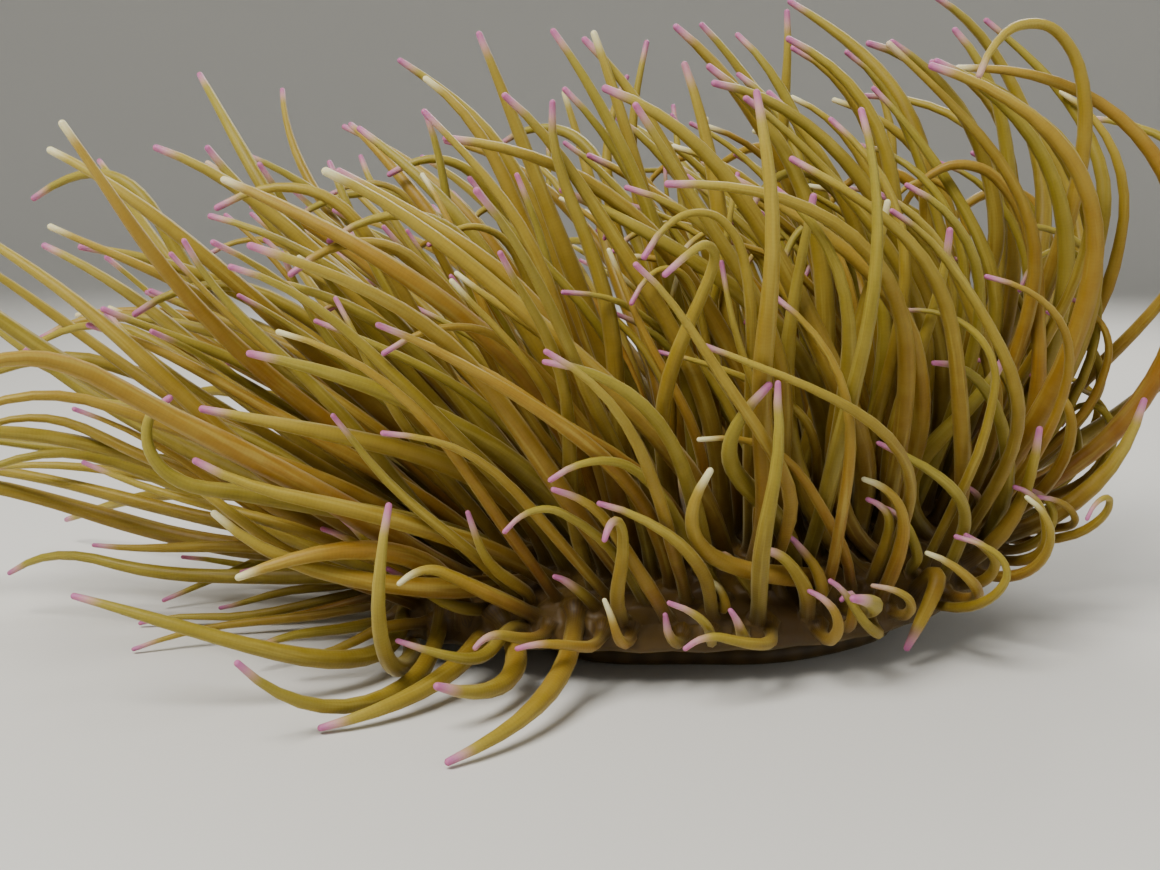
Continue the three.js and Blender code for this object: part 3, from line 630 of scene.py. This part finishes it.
def sweep_tree():
    """A round section swept along every chain of edges, as wide as the points' girth."""
    tree = bpy.data.node_groups.new("tentacle sweep", "GeometryNodeTree")
    tree.interface.new_socket("Geometry", in_out="INPUT", socket_type="NodeSocketGeometry")
    tree.interface.new_socket("Sides", in_out="INPUT", socket_type="NodeSocketInt")
    tree.interface.new_socket("Skin", in_out="INPUT", socket_type="NodeSocketMaterial")
    tree.interface.new_socket("Geometry", in_out="OUTPUT", socket_type="NodeSocketGeometry")
    build = Tree(tree)
    inputs = build.node("NodeGroupInput").outputs
    line = build.node("GeometryNodeMeshToCurve", Mesh=inputs["Geometry"]).outputs[0]
    ring = build.node("GeometryNodeCurvePrimitiveCircle", {"mode": "RADIUS"}, Resolution=inputs["Sides"],
                      Radius=1.0).outputs[0]
    way_round = build.node("GeometryNodeInputPosition").outputs[0]
    marked = build.node("GeometryNodeStoreNamedAttribute", {"data_type": "FLOAT_VECTOR", "domain": "POINT"},
                        Geometry=ring, Name="round", Value=way_round).outputs[0]
    girth = build.node("GeometryNodeInputNamedAttribute", {"data_type": "FLOAT"}, Name="girth").outputs[0]
    tube = build.node("GeometryNodeCurveToMesh", Curve=line, Profile_Curve=marked, Scale=girth,
                      Fill_Caps=True).outputs[0]
    whole = build.node("GeometryNodeRealizeInstances", Geometry=tube).outputs[0]
    skinned = build.node("GeometryNodeSetMaterial", Geometry=whole, Material=inputs["Skin"]).outputs[0]
    build.node("NodeGroupOutput", Geometry=skinned)
    return tree


def run_tree(thing, tree, **values):
    """Runs a Geometry Nodes tree on an object and keeps the result as its plain mesh."""
    modifier = thing.modifiers.new(tree.name, "NODES")
    modifier.node_group = tree
    for name, value in values.items():
        modifier[tree.interface.items_tree[name].identifier] = value
    apply_modifiers(thing)


def tentacle_group(name, lines, members, sides, tree, skin):
    """The tentacles of one group, none of which touches another of it, as one mesh."""
    paths = [tentacle_path(lines, n) for n in members]
    table = {key: np.concatenate([path[key] for path in paths]) for key in paths[0]}
    points = table.pop("points")
    chain = np.concatenate([np.full(len(path["girth"]), k) for k, path in enumerate(paths)])
    edges = [(n, n + 1) for n in np.flatnonzero(chain[1:] == chain[:-1]).tolist()]
    thing = make_object(name, points, edges=edges, attributes=table)
    run_tree(thing, tree, Sides=sides, Skin=skin)
    mesh = thing.data
    way, reach = read(mesh, "round"), read(mesh, "from_root")
    number = read(mesh, "number").round().astype(int)
    upward = np.clip((reach + ROOT_DEPTH) / (lines["length"][number] + ROOT_DEPTH), 0, 1)

    def place(turn, corners):
        column, row = number[corners] % ATLAS_COLUMNS, number[corners] // ATLAS_COLUMNS
        return ((column + PATCH_LEFT + PATCH_WIDTH * turn) / ATLAS_COLUMNS,
                ATLAS_SPLIT * (row + PATCH_FOOT + PATCH_HEIGHT * upward[corners]) / ATLAS_ROWS)

    lay_out(mesh, fract(np.arctan2(way[:, 1], way[:, 0]) / (2 * np.pi)), place)
    for key in ("column", "mouth"):
        mesh.attributes.new(key, "FLOAT", "POINT")
    for key in ("girth", "number"):
        mesh.attributes.remove(mesh.attributes[key])
    return thing


# ---- The body ------------------------------------------------------------------------------------

BODY_STATIONS = 144        # points round the body


def foot_point(angle, place, height):
    lobes = 1 + 0.025 * np.cos(5 * angle + 0.4) + 0.015 * np.cos(8 * angle + 1.1)
    x, y = turned(FOOT_HALF_LENGTH * place * lobes * np.cos(angle),
                  FOOT_HALF_WIDTH * place * lobes * np.sin(angle))
    return np.stack([x, y, np.full_like(x, height)], axis=-1)


def mouth_point(angle, half_length, half_width, rise):
    x, y = half_length * np.cos(angle) / DISC_HALF_LENGTH, half_width * np.sin(angle) / DISC_HALF_WIDTH
    return disc_point(np.hypot(x, y), np.arctan2(y, x), -rise)


def body_sections(angle):
    """Rings of points from the bottom of the mouth over the disc, the rim and the column to the foot, and
    the numbers of the first rings of the disc and of the rim."""
    pleat = 1 + 0.07 * np.cos(16 * angle) + 0.03 * np.cos(34 * angle + 1)
    mouth = [(3.6, 0.25, -3.2), (4.5, 0.5, -2.2), (4.9, 0.8, -0.4), (5.2, 1.2, 1.3), (6.0, 2.1, 2.3),
             (7.4, 3.8, 2.6), (8.7, 5.2, 2.1), (9.6, 6.2, 1.1), (10.4, 7.0, 0.35)]
    rings = [mouth_point(angle, a, b, rise * np.where(rise > 0, pleat, 1)) for a, b, rise in mouth]
    disc = len(rings)
    for place in np.concatenate([np.linspace(0.22, 0.4, 7), np.linspace(0.44, 0.98, 14)]):
        rays = 0.22 * np.cos(RAYS * angle) + 0.12 * np.cos(2 * RAYS * angle + 0.5)
        rings.append(disc_point(place, angle, 0.15 + rays * np.clip((place - 0.2) * 8, 0, 1)))
    rim = len(rings)
    for place, depth in [(1.03, 0.5), (1.066, 1.5), (1.086, 3.0), (1.09, 4.6), (1.076, 6.2), (1.045, 7.2),
                         (1.0, 7.5), (0.955, 7.0)]:
        beads = 0.009 * np.cos(36 * angle) * np.sin(np.pi * np.clip((depth - 1) / 6, 0, 1))
        rings.append(disc_point(place + beads, angle, depth))
    neck = disc_point(0.925, angle, 6.9)
    base = foot_point(angle, 0.925, FOOT_HEIGHT + 0.9)
    for t in np.linspace(0, 1, 14):
        hollow = 3.0 * np.sin(np.pi * t) ** 0.8
        furrow = 0.16 * np.cos(FURROWS * angle + 0.6) + 0.1 * np.cos(2 * FURROWS * angle + 2 * t)
        fold = 0.22 * np.sin(26 * t + 2.2 * np.cos(2 * angle) + 0.8 * np.sin(5 * angle)) * np.sin(np.pi * t)
        relief = (furrow + fold) * np.sin(np.pi * t) ** 0.5
        inward = outward(angle) * (-hollow * (1 - t * 0.35) + relief)[:, None]
        rings.append(neck * (1 - t) + base * t + inward)
    for place, height in [(0.945, 4.35), (0.972, 3.7), (0.992, 2.6), (1.0, 1.4), (0.99, 0.45),
                          (0.965, 0.06), (0.95, 0.0)]:
        ripple = 0.006 * np.cos(FURROWS * angle + 0.6) * np.clip(height, 0, 1)
        rings.append(foot_point(angle, place + ripple, height))
    return rings, disc, rim


def body(skin):
    angle = 2 * np.pi * np.arange(BODY_STATIONS) / BODY_STATIONS
    rings, disc, rim = body_sections(angle)
    gullet, sole = rings[0].mean(0) - UP * 0.4, rings[-1].mean(0) * (1, 1, 0)
    vertices = np.concatenate(rings + [gullet[None], sole[None]])
    count = len(rings)
    faces = []
    for n in range(count - 1):
        inner, outer = n * BODY_STATIONS, (n + 1) * BODY_STATIONS
        for k in range(BODY_STATIONS):
            after = (k + 1) % BODY_STATIONS
            faces.append((inner + k, outer + k, outer + after, inner + after))
    last = (count - 1) * BODY_STATIONS
    top, under = count * BODY_STATIONS, count * BODY_STATIONS + 1
    for k in range(BODY_STATIONS):
        after = (k + 1) % BODY_STATIONS
        faces += [(top, k, after), (under, last + after, last + k)]
    level = np.concatenate([np.repeat(np.arange(count) / (count - 1), BODY_STATIONS), [0, 1]])
    turn = np.concatenate([np.tile(angle / (2 * np.pi), count), [0, 0]])
    ring_of = np.concatenate([np.repeat(np.arange(count), BODY_STATIONS), [0, count - 1]])
    way = np.stack([np.cos(2 * np.pi * turn), np.sin(2 * np.pi * turn), 0 * turn], axis=-1)
    zero = 0 * turn
    attributes = dict(growth=zero, from_root=zero, from_tip=zero + 90, fellow=zero + 0.5, round=way,
                      column=np.clip((ring_of - rim - 3) / 5, 0, 1),
                      mouth=np.clip((disc + 0.5 - ring_of) / 3, 0, 1))
    thing = make_object("body", vertices, faces, attributes=attributes)
    thing.data.materials.append(skin)

    def place(turn, corners):
        return 0.01 + 0.98 * turn / 1.02, ATLAS_SPLIT + 0.01 + (0.98 - ATLAS_SPLIT) * level[corners]

    lay_out(thing.data, turn, place)
    return thing


# ---- The whole skin ------------------------------------------------------------------------------

def joined(first, others):
    """The first object with the others fused to it, where they meet."""
    for other in others:
        modifier = first.modifiers.new("fuse", "BOOLEAN")
        modifier.operation, modifier.solver, modifier.object = "UNION", "MANIFOLD", other
        apply_modifiers(first)
        bpy.data.objects.remove(other)
    return first


def without_spare_points(thing):
    """Takes out the points that only two faces share. Fusing leaves them, and with them two faces could be
    parted into triangles that lie back to back."""
    shape = bmesh.new()
    shape.from_mesh(thing.data)
    bmesh.ops.dissolve_verts(shape, verts=[point for point in shape.verts if len(point.link_edges) == 2])
    shape.to_mesh(thing.data)
    shape.free()


def anemone_skin():
    lines = all_lines()
    skin = flesh_material()
    tree = sweep_tree()
    ring, slot = lines["ring"], lines["slot"]
    posed, young = lines["posed"], ring >= len(RINGS)
    kinds = [(posed, POSED_SIDES), (~posed & ~young, SIDES), (young, YOUNG_SIDES)]
    groups = [(np.flatnonzero(kind & (ring % 2 == a) & (slot % 2 == b)), sides)
              for kind, sides in kinds for a in (0, 1) for b in (0, 1)]
    tentacles = [tentacle_group(f"tentacles_{k}", lines, members, sides, tree, skin)
                 for k, (members, sides) in enumerate(groups)]
    whole = joined(body(skin), tentacles)
    without_spare_points(whole)
    whole.name = whole.data.name = "anemone_skin"
    whole.data.materials.clear()
    whole.data.materials.append(skin)
    whole.data.polygons.foreach_set("material_index", np.zeros(len(whole.data.polygons), dtype=np.int32))
    whole.data.polygons.foreach_set("use_smooth", np.ones(len(whole.data.polygons), dtype=bool))
    whole.data.update()
    return whole


# ---- Stage, light and camera ---------------------------------------------------------------------

def stage():
    """A pale floor that turns up into a wall all round, far outside the model."""
    reach, bend, wall, count = 1.3, 0.6, 1.9, 96
    profile = [(0.02, 0.0), (reach, 0.0)]
    for a in np.linspace(0, np.pi / 2, 12)[1:]:
        profile.append((reach + bend * np.sin(a), bend - bend * np.cos(a)))
    profile.append((reach + bend, wall))
    angle = 2 * np.pi * np.arange(count) / count
    rings = [np.stack([r * np.cos(angle), r * np.sin(angle), z + 0 * angle], axis=-1) / MM
             for r, z in profile]
    faces = [(n * count + k, n * count + (k + 1) % count,
              (n + 1) * count + (k + 1) % count, (n + 1) * count + k)
             for n in range(len(rings) - 1) for k in range(count)]
    faces.append(tuple(range(count)))
    floor = make_object("floor", np.concatenate(rings), faces)
    floor.data.polygons.foreach_set("use_smooth", np.ones(len(floor.data.polygons), dtype=bool))
    floor.data.materials.append(stage_material())


def aim_at(thing, target):
    """Turns a light or a camera to look at a point."""
    way = unit(np.array(target) - np.array(thing.location))
    thing.rotation_euler = (np.arccos(np.clip(-way[2], -1, 1)), 0, np.arctan2(way[0], -way[1]) + np.pi)


def light(name, location, size, power, colour):
    data = bpy.data.lights.new(name, "AREA")
    data.shape, data.size, data.energy, data.color = "SQUARE", size, power, colour
    thing = bpy.data.objects.new(name, data)
    thing.location = location
    aim_at(thing, (-0.03, 0.0, 0.045))
    bpy.context.scene.collection.objects.link(thing)


def lights():
    light("key_light", (-0.35, -0.45, 0.75), 0.4, 12.0, (1.0, 0.98, 0.94))
    light("fill_light", (0.65, -0.5, 0.35), 0.6, 1.8, (0.95, 0.98, 1.0))
    light("back_light", (0.15, 0.7, 0.6), 0.5, 6.0, (1.0, 0.99, 0.96))
    world = bpy.data.worlds.new("soft_room")
    world.use_nodes = True
    world.node_tree.nodes["Background"].inputs["Color"].default_value = (0.9, 0.95, 1.0, 1.0)
    world.node_tree.nodes["Background"].inputs["Strength"].default_value = 0.22
    bpy.context.scene.world = world


def camera():
    target, distance, pitch = np.array([-0.027, 0.001, 0.038]), 0.300, np.radians(9.0)
    data = bpy.data.cameras.new("camera")
    data.sensor_width, data.lens, data.clip_start = 36.0, 45.4, 0.01
    thing = bpy.data.objects.new("camera", data)
    thing.location = target + distance * np.array([0, -np.cos(pitch), np.sin(pitch)])
    thing.rotation_euler = (np.pi / 2 - pitch, 0, 0)
    bpy.context.scene.collection.objects.link(thing)
    bpy.context.scene.camera = thing


stage()
lights()
camera()
skin = anemone_skin()
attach(skin, "root")
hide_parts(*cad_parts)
